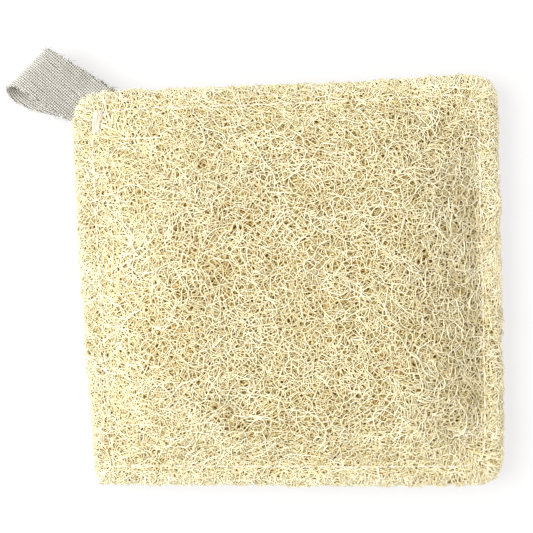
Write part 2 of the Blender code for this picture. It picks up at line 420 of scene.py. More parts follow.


# A fibre's lightest and darkest tone, and the painted shade colour they are multiplied by where its surface
# is turned in.
fibreColours = {
    "loofahFibre": {
        "light": (0.99, 0.945, 0.765),
        "dark": (0.82, 0.755, 0.50),
        "paintedShade": (0.60, 0.515, 0.31),
    },
    # The deeper fibres' colours are darker and warmer than the top's: painted shade, warmed like light
    # bounced through the fibres.
    "loofahFibreInnerShaded": {
        "light": (0.95, 0.88, 0.60),
        "dark": (0.76, 0.635, 0.32),
        "paintedShade": (0.57, 0.47, 0.24),
    },
    "seamThread": {
        "light": (0.75, 0.66, 0.57),
        "dark": (0.63, 0.54, 0.45),
        "paintedShade": (0.52, 0.43, 0.35),
    },
    "linenYarn": {
        "light": (0.89, 0.88, 0.845),
        "dark": (0.66, 0.65, 0.615),
        "paintedShade": (0.12, 0.115, 0.10),
    },
}
fibreLook = {
    "blotchDetail": 2,
    "blotchSwing": 1.4,        # how far blotches move the shade
    "grainSwing": 1.6,         # and how far the fine grain does
    "grainFiner": 14,          # than the blotches
    "bump": 0.35,
    "bumpDepth": 0.05,
    "shine": 0.3,
}


def fibreFinish(name, blotchPerMetre, roughness):
    made, nodes, wires, shader, where = newFinish(name, roughness)
    colours = fibreColours[name]
    tone = nodes.new("ShaderNodeAttribute")
    tone.attribute_name = "tone"
    blotch = nodes.new("ShaderNodeTexNoise")
    blotch.inputs["Scale"].default_value = blotchPerMetre
    blotch.inputs["Detail"].default_value = fibreLook["blotchDetail"]
    shift = nodes.new("ShaderNodeMath")
    shift.operation = "MULTIPLY_ADD"
    shift.inputs[1].default_value = fibreLook["blotchSwing"]
    shift.inputs[2].default_value = -fibreLook["blotchSwing"] / 2
    speck = nodes.new("ShaderNodeMath")
    speck.operation = "MULTIPLY_ADD"
    speck.inputs[1].default_value = fibreLook["grainSwing"]
    toned = nodes.new("ShaderNodeMath")
    toned.operation = "ADD"
    mixed = nodes.new("ShaderNodeMath")
    mixed.operation = "ADD"
    mixed.use_clamp = True
    mixed.inputs[1].default_value = -fibreLook["grainSwing"] / 2
    colour = nodes.new("ShaderNodeMix")
    colour.data_type = "RGBA"
    colour.inputs["A"].default_value = (*colours["dark"], 1)
    colour.inputs["B"].default_value = (*colours["light"], 1)
    # Painted shade: the colour is multiplied by a darker one where the fibre's surface turns in.
    turned = nodes.new("ShaderNodeAttribute")
    turned.attribute_name = "paintedShade"
    shaded = nodes.new("ShaderNodeMix")
    shaded.data_type = "RGBA"
    shaded.blend_type = "MULTIPLY"
    shaded.inputs["B"].default_value = (*colours["paintedShade"], 1)
    grain = nodes.new("ShaderNodeTexNoise")
    grain.inputs["Scale"].default_value = blotchPerMetre * fibreLook["grainFiner"]
    bump = nodes.new("ShaderNodeBump")
    bump.inputs["Strength"].default_value = fibreLook["bump"]
    bump.inputs["Distance"].default_value = fibreLook["bumpDepth"] * mm
    wires.new(where.outputs["Object"], blotch.inputs["Vector"])
    wires.new(where.outputs["Object"], grain.inputs["Vector"])
    wires.new(blotch.outputs["Fac"], shift.inputs[0])
    wires.new(shift.outputs["Value"], toned.inputs[0])
    wires.new(tone.outputs["Fac"], toned.inputs[1])
    wires.new(grain.outputs["Fac"], speck.inputs[0])
    wires.new(toned.outputs["Value"], speck.inputs[2])
    wires.new(speck.outputs["Value"], mixed.inputs[0])
    wires.new(mixed.outputs["Value"], colour.inputs["Factor"])
    wires.new(turned.outputs["Fac"], shaded.inputs["Factor"])
    wires.new(colour.outputs["Result"], shaded.inputs["A"])
    wires.new(shaded.outputs["Result"], shader.inputs["Base Color"])
    wires.new(grain.outputs["Fac"], bump.inputs["Height"])
    wires.new(bump.outputs["Normal"], shader.inputs["Normal"])
    shader.inputs["Specular IOR Level"].default_value = fibreLook["shine"]
    return made


# The loofah's fibres, from the surface down. Sizes in millimetres, turns in degrees.
strands = {
    "over": dict(count=270, width=0.34, length=(7, 22), bend=0.12, depth=0.0, seed=11),
    "under": dict(count=500, width=0.31, length=(3, 9), bend=0.2, depth=0.2, seed=12),
    "step": 0.9,
    "lie": -4.0,           # the way most strands run
    "swing": 34.0,         # how far that way turns from place to place
    "swingPerMm": 0.035,
    "swingSeed": 0.3,
    "spread": 18.0,
    "crosswise": 0.1,      # the share of strands that run across the others
    "crossTurn": 75,
    "wander": (0.2, 0.6),
    "wanderLength": 2.0,
    "phases": 6.28,
    "fewestPoints": 4,
    "wave": 0.5,
    "widths": (0.7, 1.3),
    "tipWidth": 0.6,
    "tipGrowth": 0.25,
}
webs = {
    "Net": dict(pitch=2.35, width=0.31, depth=0.0, stretch=1.55, turn=-8, parts=2, seed=3),
    "Weave": dict(pitch=2.0, width=0.28, depth=0.15, stretch=1.5, turn=14, parts=2, seed=4),
    "Edge": dict(pitch=1.5, width=0.25, depth=0.3, stretch=1.1, turn=0, parts=1, seed=5),
    "Fine": dict(pitch=1.62, width=0.31, depth=0.45, stretch=1.3, turn=2, parts=1, seed=8),
    "Inner": dict(pitch=1.78, width=0.37, depth=0.7, stretch=1.2, turn=-20, parts=1, seed=13),
    "backWeave": dict(pitch=2.5, width=0.35, depth=0.2, stretch=1.3, turn=14, parts=1, seed=4),
    "backFine": dict(pitch=2.5, width=0.36, depth=0.5, stretch=1.2, turn=-25, parts=1, seed=8),
    "relax": 2,
    "curl": 0.6,           # how far the fibres wander sideways
    "curlPerMm": 0.48,
    "curlSeed": 0.83,
    "wave": 0.4,           # and how far up and down
    "wavePerMm": 0.3,
    "waveSeed": 3.1,
    "widths": (0.7, 1.35),
    "backSeed": 40,
    "innerFrom": 0.3,      # the depth from which fibres have the inner colours
    "edgeBand": 20.0,      # the edge's web reaches this far in
    "bandRagged": 8.0,     # how unevenly it ends there
    "bandPerMm": 0.09,
    "bandSeed": 3.3,
    "crowding": 0.10,      # how much closer the fibres lie towards the rim
    "rimShare": 0.8,       # how deep the layers are at the rim, as a share
    "puffedFrom": 0.08,    # the share of the loft from which they are at their full depth
}


def crowded(points):
    half = np.array(pad["half"])
    share = points / half
    inner = np.clip(share, -1, 1)
    grown = inner * (1 + webs["crowding"] * (1 - inner ** 2)) + (share - inner)
    return grown * half


def settled(points, depth, wave, seed, side):
    a, b = points.T
    puffed = np.minimum(1, loft(a, b) / webs["puffedFrom"])
    lift = soften(points, seed * webs["waveSeed"], webs["wavePerMm"]) * wave - depth
    return padPlace(a, b, lift * (webs["rimShare"] + (1 - webs["rimShare"]) * puffed), side)


def webRuns(web, side, made):
    draw = random.Random(web["seed"] + side)
    spotSeed = web["seed"] + (webs["backSeed"] if side < 0 else 0)
    spots = netSpots(web["pitch"], web["stretch"], math.radians(web["turn"]), spotSeed)
    knots, runs = netRuns(spots, webs["relax"])
    curl = [noiseWay(knot, webs["curlPerMm"], web["seed"] * webs["curlSeed"]) for knot in knots]
    knots = crowded(knots + np.array(curl) * webs["curl"] * 2)
    limit = np.array(pad["half"]) + rim["over"]
    kept = []
    for run in runs:
        points = smoothRun(knots[run], web["parts"])
        inside = (abs(points) < limit).all(1)
        if "band" in web:
            ragged = webs["bandRagged"] * 2 * soften(points, webs["bandSeed"], webs["bandPerMm"])
            inside &= insetOf(*points.T) < web["band"] + ragged
        if inside.sum() < 2 or not inside[np.argmax(inside):len(inside) - np.argmax(inside[::-1])].all():
            continue    # too short, or left the pad and came back
        kept.append(points[inside])
    lengths = [len(points) for points in kept]
    share = gaps["innerShare"] if web["depth"] >= gaps["innerFrom"] else gaps["topShare"]
    flat = openGaps(np.vstack(kept), made, share)
    placed = settled(flat, web["depth"], webs["wave"], web["seed"], side)
    result = []
    for points in np.split(placed, np.cumsum(lengths)[:-1]):
        radius = web["width"] / 2 * draw.uniform(*webs["widths"])
        result.append((points, np.full(len(points), radius), draw.choice(shades)))
    return result


def strandRuns(kind, side, made):
    draw = random.Random(kind["seed"] + side)
    limit = np.array(pad["half"]) + rim["over"]
    flats = []
    for _ in range(kind["count"]):
        spot = [draw.uniform(-1, 1) * most for most in limit]
        swing = noise.noise(noiseSpot(spot, strands["swingPerMm"], strands["swingSeed"]))
        heading = strands["lie"] + strands["swing"] * 2 * swing
        stray = draw.gauss(0, strands["spread"])
        heading += stray + (strands["crossTurn"] if draw.random() < strands["crosswise"] else 0)
        steps = int(draw.uniform(*kind["length"]) / strands["step"])
        bend = draw.gauss(0, kind["bend"])
        swell = draw.uniform(*strands["wander"])
        phase = draw.uniform(0, strands["phases"])
        along = np.arange(steps) * strands["step"]
        sway = swell * np.sin(along / strands["wanderLength"] + phase)
        turns = math.radians(heading) + bend * along + sway
        walk = np.cumsum(np.stack([np.cos(turns), np.sin(turns)], 1), 0) * strands["step"]
        points = np.array(spot) + walk - walk[steps // 2]
        inside = (abs(points) < limit).all(1)
        if inside.sum() >= strands["fewestPoints"]:
            flats.append(points[inside])
    lengths = [len(points) for points in flats]
    flat = openGaps(np.vstack(flats), made, gaps["topShare"])
    placed = settled(flat, kind["depth"], strands["wave"], kind["seed"], side)
    result = []
    for points in np.split(placed, np.cumsum(lengths)[:-1]):
        ends = np.minimum(np.arange(len(points)), np.arange(len(points))[::-1])
        tips = np.clip(strands["tipWidth"] + strands["tipGrowth"] * ends, 0, 1)
        radius = kind["width"] / 2 * draw.uniform(*strands["widths"]) * tips
        result.append((points, radius, draw.choice(shades[2:])))
    return result


fibreTop = fibreFinish("loofahFibre", blotchPerMetre=130, roughness=0.55)
fibreInner = fibreFinish("loofahFibreInnerShaded", blotchPerMetre=130, roughness=0.65)

seam = {
    "inset": 5.3,
    "stitch": 4.3,
    "ply": 0.21,            # radius of each of the thread's two plies
    "plyApart": 0.17,
    "twist": 1.7,           # millimetres a turn
    "step": 0.45,
    "above": -0.11,
    "dip": 1.2,
    "wobble": 0.22,
    "wobblePerMm": 0.2,
    "wobbleSeeds": (1.5, 2.5),
    "roundness": 0.45,
    "plyShades": (0.85, 0.6),
    "holeSize": 0.34,
    "sideParts": 400,
}


def seamWay(side, lift):
    a = pad["half"][0] - seam["inset"]
    b = pad["half"][1] - seam["inset"]
    corners = np.array([(-a, -b), (a, -b), (a, b), (-a, b), (-a, -b)])
    parts = seam["sideParts"]
    flat = np.vstack([np.linspace(p, q, parts, endpoint=False) for p, q in zip(corners, corners[1:])])
    way = padPlace(*flat.T, lift, side)
    gone = np.concatenate([[0], np.cumsum(np.hypot(*(way[1:] - way[:-1])[:, :2].T))])
    return flat, way, gone


# The holes are small gaps in the loofah, one at each end of every stitch.
def seamHoles():
    flat, _, gone = seamWay(1, 0)
    count = round(gone[-1] / seam["stitch"])
    along = np.arange(count) * gone[-1] / count
    spots = np.stack([np.interp(along, gone, flat[:, i]) for i in range(2)], 1)
    return [(spot, seam["holeSize"], np.array([1.0, 0.0])) for spot in spots]


def seamRuns(side):
    _, way, gone = seamWay(side, 0)
    count = round(gone[-1] / seam["stitch"])
    steps = int(gone[-1] / seam["step"])
    along = np.arange(steps + 1) / steps * gone[-1]
    middle = np.stack([np.interp(along, gone, way[:, i]) for i in range(3)], 1)
    # The back's stitches lie half a stitch further on.
    share = (along / gone[-1] * count + (0.5 if side < 0 else 0)) % 1
    arch = np.sin(math.pi * share) ** seam["roundness"]
    wobble = [soften(middle, seed, seam["wobblePerMm"]) for seed in seam["wobbleSeeds"]]
    middle[:, :2] += seam["wobble"] * np.stack(wobble, 1)
    middle[:, 2] += side * (seam["above"] - seam["dip"] * (1 - arch))
    ahead = np.gradient(middle, axis=0)
    ahead /= np.linalg.norm(ahead, axis=1)[:, None]
    sideways = np.cross(ahead, (0, 0, 1))
    sideways /= np.linalg.norm(sideways, axis=1)[:, None]
    upward = np.cross(sideways, ahead)
    turn = along / seam["twist"] * 2 * math.pi
    runs = []
    for start, shade in zip((0, math.pi), seam["plyShades"]):
        around = np.cos(turn + start)[:, None] * sideways + np.sin(turn + start)[:, None] * upward
        runs.append((middle + seam["plyApart"] * around, np.full(len(middle), seam["ply"]), shade))
    return runs


# Short fibres that cross the rim and end just past it.
fuzz = {
    "count": 1900,
    "width": 0.24,
    "inside": (1.0, 4.0),       # each starts this far in from the edge,
    "crossing": (0.8, -0.5),    # passes these places, just in and just out,
    "outside": (0.9, 2.2),      # and ends this far down the rim's side
    "slant": 3.2,
    "slantSpread": 0.35,
    "edgeOut": 0.25,
    "reachOut": (0.05, 0.75),
    "rise": 0.5,
    "riseSpread": 0.3,
    "lift": (-0.1, 0.35),
    "frontShare": 0.62,
    "widths": (0.7, 1.3),
    "taper": (0.8, 1, 0.9, 0.5),
    "loopCorner": 13.0,         # within this of the loop's corner they are longer
    "longer": 2.0,
    "seed": 61,
}


def fuzzRuns():
    draw = random.Random(fuzz["seed"])
    halfA, halfB = pad["half"]
    runs = []
    for _ in range(fuzz["count"]):
        along = draw.uniform(0, 4 * (halfA + halfB))
        topOrBottom = along < 4 * halfA
        half = halfA if topOrBottom else halfB
        end = 1 if draw.random() < 0.5 else -1
        spot = draw.uniform(-1, 1) * half
        inset = np.array([draw.uniform(*fuzz["inside"]), *fuzz["crossing"], -draw.uniform(*fuzz["outside"])])
        slide = np.cumsum([0] + [draw.gauss(0, fuzz["slantSpread"]) * fuzz["slant"] for _ in range(3)])
        across = np.clip(spot + slide, -half, half)
        if topOrBottom:
            a, b = across, end * (halfB - inset)
        else:
            a, b = end * (halfA - inset), across
        side = 1 if draw.random() < fuzz["frontShare"] else -1
        points = padPlace(a, b, draw.uniform(*fuzz["lift"]), side)
        out = np.array([0.0, end, 0.0]) if topOrBottom else np.array([end, 0.0, 0.0])
        points[2] += out * fuzz["edgeOut"]
        byLoop = math.hypot(*(points[3, :2] - np.array(pad["topLeft"]))) < fuzz["loopCorner"]
        points[3] += out * draw.uniform(*fuzz["reachOut"]) * (fuzz["longer"] if byLoop else 1)
        points[3, 2] += draw.gauss(0, fuzz["riseSpread"]) * fuzz["rise"]
        points[:, 2] = np.maximum(points[:, 2], pad["lowest"])
        radius = fuzz["width"] / 2 * draw.uniform(*fuzz["widths"]) * np.array(fuzz["taper"])
        # Only the lighter tones, as painted light: they brighten the rim's edge, which turns away from the
        # light.
        runs.append((points, radius, draw.choice(shades[2:])))
    return runs


frontGaps = gapList(seed=31) + seamHoles()
backGaps = gapList(seed=47)
webs["Edge"]["band"] = webs["edgeBand"]
frontStrands = strandRuns(strands["over"], 1, frontGaps) + strandRuns(strands["under"], 1, frontGaps)
fibres("frontStrands", frontStrands, 3, fibreTop)
for layer in ("Net", "Weave", "Edge", "Fine", "Inner"):
    finish = fibreTop if webs[layer]["depth"] < webs["innerFrom"] else fibreInner
    fibres("front" + layer, webRuns(webs[layer], 1, frontGaps), 3, finish)
backStrands = strandRuns(strands["over"], -1, backGaps) + strandRuns(strands["under"], -1, backGaps)
fibres("backStrands", backStrands, 3, fibreTop, out=-1)
for layer in ("backWeave", "backFine"):
    fibres(layer, webRuns(webs[layer], -1, backGaps), 3, fibreTop, out=-1)
fibres("rimFuzz", fuzzRuns(), 3, fibreTop)


# The seam's thread, and the bunch of stitches that holds the loop's corner.
threadFinish = fibreFinish("seamThread", blotchPerMetre=300, roughness=0.6)
tack = {
    "top": (-56.3, 52.3),
    "middle": (-58.3, 48.4),    # a corner point that the curve is drawn towards
    "bottom": (-57.3, 43.6),
    "widthTop": 3.3,
    "widthBottom": 1.6,
    "threads": 13,
    "points": 12,               # of each thread
    "radius": 0.19,
    "starts": (0, 0.15),        # as a share of the way from top to bottom
    "ends": (0.8, 1),
    "stray": 0.04,
    "bow": 0.12,
    "bowTurns": 4,
    "above": 0.6,
    "crown": 2.5,
    "uneven": 0.1,
    "dip": 1.1,                 # how far its ends go down into the loofah
    "dipRoundness": 0.4,
    "follow": 0.4,              # how closely it follows the ground,
    "level": 0.6,               # and how far it keeps level
    "ground": ((-62, -40, 90), (30, 58, 110)),    # from, to and steps, across and along
    "seed": 71,
}


def tackRuns():
    draw = random.Random(tack["seed"])
    across, along = (np.linspace(*stretch) for stretch in tack["ground"])
    grid = np.stack(np.meshgrid(across, along), 2).reshape(-1, 2)
    ground = padPlace(*grid.T, 0, 1)
    top, middle, bottom = (np.array(tack[key]) for key in ("top", "middle", "bottom"))
    runs = []
    for i in range(tack["threads"]):
        start = draw.uniform(*tack["starts"])
        end = draw.uniform(*tack["ends"])
        share = np.linspace(start, end, tack["points"])[:, None]
        spot = (i + 0.5) / tack["threads"] - 0.5 + draw.uniform(-tack["stray"], tack["stray"])
        way = top * (1 - share) ** 2 + 2 * middle * share * (1 - share) + bottom * share ** 2
        width = tack["widthTop"] * (1 - share) + tack["widthBottom"] * share
        way[:, :1] += width * spot + draw.gauss(0, tack["bow"]) * np.sin(tack["bowTurns"] * share + i)
        nearest = [np.argmin(((ground[:, :2] - spotted) ** 2).sum(1)) for spotted in way]
        under = ground[nearest, 2]
        arch = np.sin(np.linspace(0, math.pi, tack["points"])) ** tack["dipRoundness"]
        crown = tack["above"] * (1 - tack["crown"] * spot ** 2)
        crown += draw.uniform(-tack["uneven"], tack["uneven"])
        z = under * tack["follow"] + under.mean() * tack["level"] + crown - tack["dip"] * (1 - arch)
        radius = np.full(tack["points"], tack["radius"])
        runs.append((np.column_stack([way, z]), radius, draw.choice(shades[2:])))
    return runs


threads = fibres("seamThread", seamRuns(1) + seamRuns(-1), 4, threadFinish)
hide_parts("seam_thread")
fibres("cornerTack", tackRuns(), 4, threadFinish)

# The hanging loop: a folded strip of linen cloth, cut a little off its weave, with both ends in the seam.
tape = {
    "width": 15.0,
    "reach": 35.0,         # from the fold to the sewn-in ends
    "endLength": 6,
    "pastLoop": 1,
    "foldSpot": (-78.8, 65.7),
    "heading": -31.8,
    "legHeight": 0.55,
    "loopLength": 21.5,    # from the fold to where the legs meet
    "closing": 2,
    "bulge": 3.6,
    "roundness": 0.7,
    "droop": 2.8,
    "droopCurve": 1.3,
    "foldDepth": 3.6,
    "legSpread": 3.7,
    "foldSkew": 3.4,
    "cloth": 0.12,
    "showing": 28.5,       # how far in from the fold the yarns are modelled
    "warpPitch": 0.65,
    "warpWidth": 0.40,
    "weftPitch": 0.66,
    "weftWidth": 0.34,
    "wave": 0.15,
    "warpWander": 0.16,
    "warpWanderPerMm": 0.3,
    "warpWanderSeed": 2.0,
    "warpWanderApart": 5,
    "warpUneven": 0.12,
    "warpUnevenSeed": 7.0,
    "warpUnevenPerMm": 1.1,
    "weftUneven": 0.15,
    "weftUnevenPerMm": 0.9,
    "fewestPoints": 5,     # shorter yarns are left out
    "selvedge": 0.1,       # the warp ends this far in from the strip's edges
    "offWeave": 0.162,     # how far the warp runs across the strip for each millimetre along it
    "fray": 0.5,
    "hairs": 150,
    "hairPoints": 4,
    "hairLength": (0.5, 1.5),
    "hairInside": 0.4,
    "hairSlant": 0.7,
    "hairCurl": 0.4,
    "hairLift": 0.25,
    "hairRise": (-0.3, 0.4),
    "hairRadius": (0.05, 0.09),
    "legStops": 12,        # places on the strip's way that are worked out
    "foldStops": 17,
    "partsEach": 4,        # and the parts between each two of them
    "slopeStep": 0.2,      # the way's slope is taken this far ahead and behind
    "clothParts": (160, 12),
    "seed": 83,
    "fraySeed": 84,
}


def tapePath():
    loose = tape["loopLength"] - tape["closing"]
    beyond = tape["loopLength"] + tape["pastLoop"]
    straight = np.array([tape["reach"], tape["reach"] - tape["endLength"], beyond])
    nearing = np.linspace(1, 0, tape["legStops"], endpoint=False)
    loosened = tape["foldDepth"] + (loose - tape["foldDepth"]) * nearing
    distance = np.concatenate([straight, loosened])
    turn = np.linspace(0, math.pi, tape["foldStops"])

    def droop(s):
        return tape["droop"] * np.maximum(0, 1 - s / tape["loopLength"]) ** tape["droopCurve"]

    share = np.clip((loose - distance) / (loose - tape["foldDepth"]), 0, 1)
    spread = (share * share * (3 - 2 * share)) ** tape["roundness"]
    rise = tape["legHeight"] + tape["bulge"] * spread
    bend = tape["foldDepth"] * (1 - np.sin(turn))
    upper = np.stack([distance, pad["meeting"] - droop(distance) + rise, 0 * spread], 1)
    lower = np.stack([distance, pad["meeting"] - droop(distance) - rise, tape["legSpread"] * spread], 1)
    middle = pad["meeting"] - droop(bend) + (tape["legHeight"] + tape["bulge"]) * np.cos(turn)
    fold = np.stack([bend, middle, tape["legSpread"] * (1 - np.cos(turn)) / 2], 1)
    path = smoothRun(np.vstack([upper, fold, lower[::-1]]), tape["partsEach"])
    gone = np.concatenate([[0], np.cumsum(np.hypot(*(path[1:] - path[:-1])[:, :2].T))])
    return path, gone


tapeStops, tapeGone = tapePath()


def tapeStop(gone, i):
    return np.interp(gone, tapeGone, tapeStops[:, i])


# A spot on the strip: how far it has gone from end to end, where it is across, and how far it is lifted off.
def tapePlace(gone, across, lift):
    s, z, shift = (tapeStop(gone, i) for i in range(3))
    step = tape["slopeStep"]
    ahead = [tapeStop(gone + step, i) - tapeStop(gone - step, i) for i in range(2)]
    length = np.maximum(np.hypot(*ahead), tiny)
    s = s + ahead[1] / length * lift       # outwards from the loop's inside
    z = z - ahead[0] / length * lift
    skew = tape["foldSkew"] * across / tape["width"] * np.maximum(0, 1 - s / tape["loopLength"])
    heading = math.radians(tape["heading"])
    along = np.array([math.cos(heading), math.sin(heading)])
    aside = np.array([along[1], -along[0]])
    flat = np.array(tape["foldSpot"]) + np.outer(s - skew, along) + np.outer(across + shift, aside)
    return np.stack([flat[:, 0], flat[:, 1], np.maximum(z, pad["lowest"])], 1)


def yarnRuns():
    draw = random.Random(tape["seed"])
    middle = tapeGone[-1] / 2
    half = tape["width"] / 2
    shown = tape["showing"]
    slant = tape["offWeave"]
    runs = []

    def wefts(gone, across):
        s = tapeStop(gone, 0)
        side = np.where(gone < middle, 1, -1)
        return (gone - side * slant * across * np.minimum(1, s / tape["loopLength"])) / tape["weftPitch"]

    step = tape["weftPitch"] / 2
    gone = np.arange(middle - shown, middle + shown, step)
    s = tapeStop(gone, 0)
    count = int((2 * half + slant * shown) / tape["warpPitch"]) + 2
    for i in range(count):
        across = -half - slant * shown + (i + 0.5) * tape["warpPitch"] + slant * s
        apart = np.stack([gone, gone * 0 + i * tape["warpWanderApart"]], 1)
        wander = soften(apart, tape["warpWanderSeed"], tape["warpWanderPerMm"])
        across = across + wander * tape["warpWander"]
        lift = tape["wave"] * np.cos(math.pi * (wefts(gone, across) + i))
        inside = abs(across) < half - tape["selvedge"]
        for block in np.split(np.arange(len(gone)), np.flatnonzero(np.diff(inside.astype(int))) + 1):
            if len(block) >= tape["fewestPoints"] and inside[block[0]]:
                points = tapePlace(gone[block], across[block], lift[block])
                uneven = soften(points, tape["warpUnevenSeed"] + i, tape["warpUnevenPerMm"])
                radius = tape["warpWidth"] / 2 * (1 + tape["warpUneven"] * uneven)
                runs.append((points, radius, draw.choice(shades[1:4])))
    firstWeft = int((middle - shown) / tape["weftPitch"])
    lastWeft = int((middle + shown) / tape["weftPitch"])
    for j in range(firstWeft, lastWeft + 1):
        start = -half - draw.uniform(0, tape["fray"])
        end = half + draw.uniform(0, tape["fray"])
        across = np.arange(start, end, tape["warpPitch"] / 2)
        near = tapeStop(j * tape["weftPitch"], 0)
        side = 1 if j * tape["weftPitch"] < middle else -1
        gone = j * tape["weftPitch"] + side * slant * across * min(1, near / tape["loopLength"])
        s = tapeStop(gone, 0)
        warps = (across + half + slant * shown - slant * s) / tape["warpPitch"] - 0.5
        lift = -tape["wave"] * np.cos(math.pi * (warps + j))
        uneven = soften(np.stack([across, across * 0], 1), j, tape["weftUnevenPerMm"])
        radius = tape["weftWidth"] / 2 * (1 + tape["weftUneven"] * uneven)
        runs.append((tapePlace(gone, across, lift), radius, draw.choice(shades[:3])))
    return runs


def frayRuns():
    draw = random.Random(tape["fraySeed"])
    middle = tapeGone[-1] / 2
    runs = []
    for _ in range(tape["hairs"]):
        start = middle + draw.uniform(-1, 1) * tape["showing"]
        side = draw.choice((-1, 1))
        reach = np.linspace(0, draw.uniform(*tape["hairLength"]), tape["hairPoints"])
        across = side * (tape["width"] / 2 - tape["hairInside"] + reach)
        gone = start + reach * draw.gauss(0, tape["hairSlant"])
        gone += reach ** 2 * draw.gauss(0, tape["hairCurl"])
        points = tapePlace(gone, across, tape["hairLift"] + reach * draw.uniform(*tape["hairRise"]))
        radius = np.full(tape["hairPoints"], draw.uniform(*tape["hairRadius"]))
        runs.append((points, radius, draw.choice(shades)))
    return runs


# The cloth itself only shows between the yarns, where it is coloured dark: painted shade in the gaps of the
# weave.
linen = {
    "yarn": (0.17, 0.16, 0.135),
    "gap": (0.08, 0.072, 0.058),
    "turn": 41,    # degrees
    "bandsPerMetre": 320,
    "distortion": 1.2,
    "bump": 0.5,
    "bumpDepth": 0.1,
}


def linenFinish():
    made, nodes, wires, shader, where = newFinish("linenClothShade", roughness=0.9)
    turned = nodes.new("ShaderNodeMapping")
    turned.inputs["Rotation"].default_value = (0, 0, math.radians(linen["turn"]))
    weave = nodes.new("ShaderNodeTexWave")
    weave.wave_type = "BANDS"
    weave.bands_direction = "Y"
    weave.inputs["Scale"].default_value = linen["bandsPerMetre"]
    weave.inputs["Distortion"].default_value = linen["distortion"]
    ramp = nodes.new("ShaderNodeMix")
    ramp.data_type = "RGBA"
    ramp.inputs["A"].default_value = (*linen["gap"], 1)
    ramp.inputs["B"].default_value = (*linen["yarn"], 1)
    bump = nodes.new("ShaderNodeBump")
    bump.inputs["Strength"].default_value = linen["bump"]
    bump.inputs["Distance"].default_value = linen["bumpDepth"] * mm
    wires.new(where.outputs["Object"], turned.inputs["Vector"])
    wires.new(turned.outputs["Vector"], weave.inputs["Vector"])
    wires.new(weave.outputs["Fac"], ramp.inputs["Factor"])
    wires.new(ramp.outputs["Result"], shader.inputs["Base Color"])
    wires.new(weave.outputs["Fac"], bump.inputs["Height"])
    wires.new(bump.outputs["Normal"], shader.inputs["Normal"])
    return made


def tapeCloth():
    deselectAll()
    lengthways, crossways = tape["clothParts"]
    bpy.ops.mesh.primitive_grid_add(x_subdivisions=lengthways, y_subdivisions=crossways, size=2)
    cloth = bpy.context.object
    cloth.name = "hangingLoop"
    flat = np.zeros(len(cloth.data.vertices) * 3)
    cloth.data.vertices.foreach_get("co", flat)
    along, across = flat.reshape(-1, 3)[:, :2].T
    gone = (along + 1) / 2 * tapeGone[-1]
    cloth.data.vertices.foreach_set("co", (tapePlace(gone, across * tape["width"] / 2, 0) * mm).ravel())
    solid = cloth.modifiers.new("thickness", "SOLIDIFY")
    solid.thickness = tape["cloth"] * mm
    solid.offset = 0
    bpy.ops.object.modifier_apply(modifier="thickness")
    bpy.ops.object.mode_set(mode="EDIT")
    bpy.ops.mesh.select_all(action="SELECT")
    bpy.ops.mesh.normals_make_consistent(inside=False)
    bpy.ops.object.mode_set(mode="OBJECT")
    bpy.ops.object.shade_smooth()
    cloth.data.materials.append(linenFinish())
    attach(cloth, "root")
    return cloth


yarnFinish = fibreFinish("linenYarn", blotchPerMetre=400, roughness=0.8)
cloth = tapeCloth()
yarns = fibres("loopYarns", yarnRuns(), 3, yarnFinish)
frays = fibres("loopFray", frayRuns(), 3, yarnFinish)
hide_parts("hanging_loop")
stepDone("hanging loop")


# The springy mat inside each sheet, which is all that shows through the gaps.
mats = {
    "rows": 48,
    "inset": 0.3,
    "rimDepth": 1.0,
    "depth": 1.5,
    "apart": 0.02,             # how far each mat stays from the meeting plane
    "fill": 0.7,
    "driftPerMetre": 320,
    "driftDetail": 2,
    "drift": 1.6,
    "cellsPerMetre": 900,
    # The fibre colour at the cells' edges is the loofah's own; the dark brown of their middles is painted
    # shade in the deep holes.
    "cells": {                 # colours at their distance from a cell's edge
        0.05: (0.80, 0.67, 0.31, 1),
        0.12: (0.44, 0.32, 0.095, 1),
        0.28: (0.13, 0.083, 0.020, 1),
    },
    "patchPerMetre": 110,
    "patches": {               # and colours to multiply them by, at their value of the noise
        0.42: (1, 1, 1, 1),
        0.68: (0.80, 0.62, 0.42, 1),
    },
}


def rampNode(nodes, colours):
    node = nodes.new("ShaderNodeValToRGB")
    stops = list(colours.items())
    first, last = node.color_ramp.elements
    first.position, first.color = stops[0]
    last.position, last.color = stops[-1]
    for place, colour in stops[1:-1]:
        node.color_ramp.elements.new(place).color = colour
    return node


